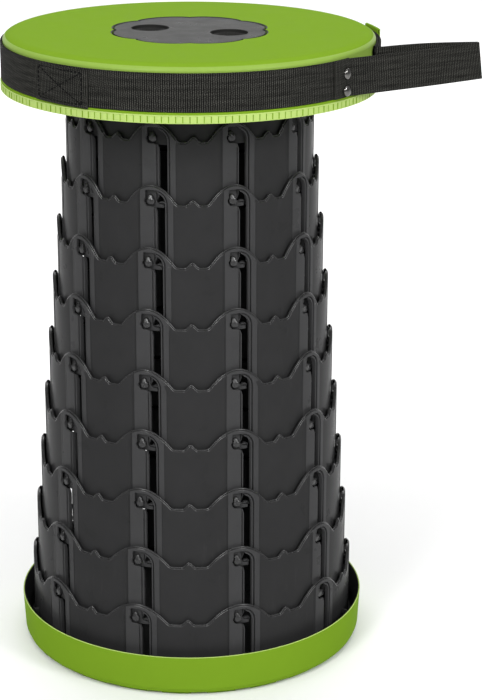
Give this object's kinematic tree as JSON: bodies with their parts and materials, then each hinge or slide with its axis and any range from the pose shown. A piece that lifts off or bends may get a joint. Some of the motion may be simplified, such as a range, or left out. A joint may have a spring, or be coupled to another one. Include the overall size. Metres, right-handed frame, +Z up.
{
  "type": "collapsible telescopic stool",
  "caption": "Round camping stool on a column of nested slotted rings that slide down into each other, with finger holes in the seat, a webbing hand loop and a shallow round base.",
  "frame": {"origin": "centre of the base, on the surface that the stool stands on", "axes": "+Z up along the column, -Y towards the front, +X towards the side where the hand loop hangs"},
  "size_m": [0.3347, 0.2632, 0.45],
  "materials": {
    "lime_plastic": "satin moulded polypropylene",
    "black_plastic": "satin moulded nylon",
    "webbing": "woven flat webbing",
    "rivet_metal": "bright nickel plate",
    "screw_steel": "zinc plated"
  },
  "bodies": {
    "base": {"base_band": "lime_plastic", "base_cup": "black_plastic", "base_screw_1": "screw_steel", "base_screw_2": "screw_steel", "base_screw_3": "screw_steel", "base_screw_4": "screw_steel", "base_screw_5": "screw_steel", "ring_10": "black_plastic"},
    "stage_9": {"ring_9": "black_plastic"},
    "stage_8": {"ring_8": "black_plastic"},
    "stage_7": {"ring_7": "black_plastic"},
    "stage_6": {"ring_6": "black_plastic"},
    "stage_5": {"ring_5": "black_plastic"},
    "stage_4": {"ring_4": "black_plastic"},
    "stage_3": {"ring_3": "black_plastic"},
    "stage_2": {"ring_2": "black_plastic"},
    "seat": {"ring_1": "black_plastic", "seat_cover": "lime_plastic", "seat_center": "black_plastic", "seat_screw_1": "screw_steel", "seat_screw_2": "screw_steel", "seat_screw_3": "screw_steel", "seat_screw_4": "screw_steel", "seat_screw_5": "screw_steel", "strap_band": "webbing", "strap_overlap": "webbing", "strap_loop": "webbing", "rivet_upper": "rivet_metal", "rivet_lower": "rivet_metal"}
  },
  "joints": [
    {"name": "slide_9", "type": "slide", "parent": "base", "child": "stage_9", "axis": [0, 0, 1], "range_m": [-0.0423, 0]},
    {"name": "slide_8", "type": "slide", "parent": "stage_9", "child": "stage_8", "axis": [0, 0, 1], "range_m": [-0.0423, 0]},
    {"name": "slide_7", "type": "slide", "parent": "stage_8", "child": "stage_7", "axis": [0, 0, 1], "range_m": [-0.0423, 0]},
    {"name": "slide_6", "type": "slide", "parent": "stage_7", "child": "stage_6", "axis": [0, 0, 1], "range_m": [-0.0423, 0]},
    {"name": "slide_5", "type": "slide", "parent": "stage_6", "child": "stage_5", "axis": [0, 0, 1], "range_m": [-0.0423, 0]},
    {"name": "slide_4", "type": "slide", "parent": "stage_5", "child": "stage_4", "axis": [0, 0, 1], "range_m": [-0.0423, 0]},
    {"name": "slide_3", "type": "slide", "parent": "stage_4", "child": "stage_3", "axis": [0, 0, 1], "range_m": [-0.0423, 0]},
    {"name": "slide_2", "type": "slide", "parent": "stage_3", "child": "stage_2", "axis": [0, 0, 1], "range_m": [-0.0423, 0]},
    {"name": "slide_1", "type": "slide", "parent": "stage_2", "child": "seat", "axis": [0, 0, 1], "range_m": [-0.0423, 0]}
  ]
}
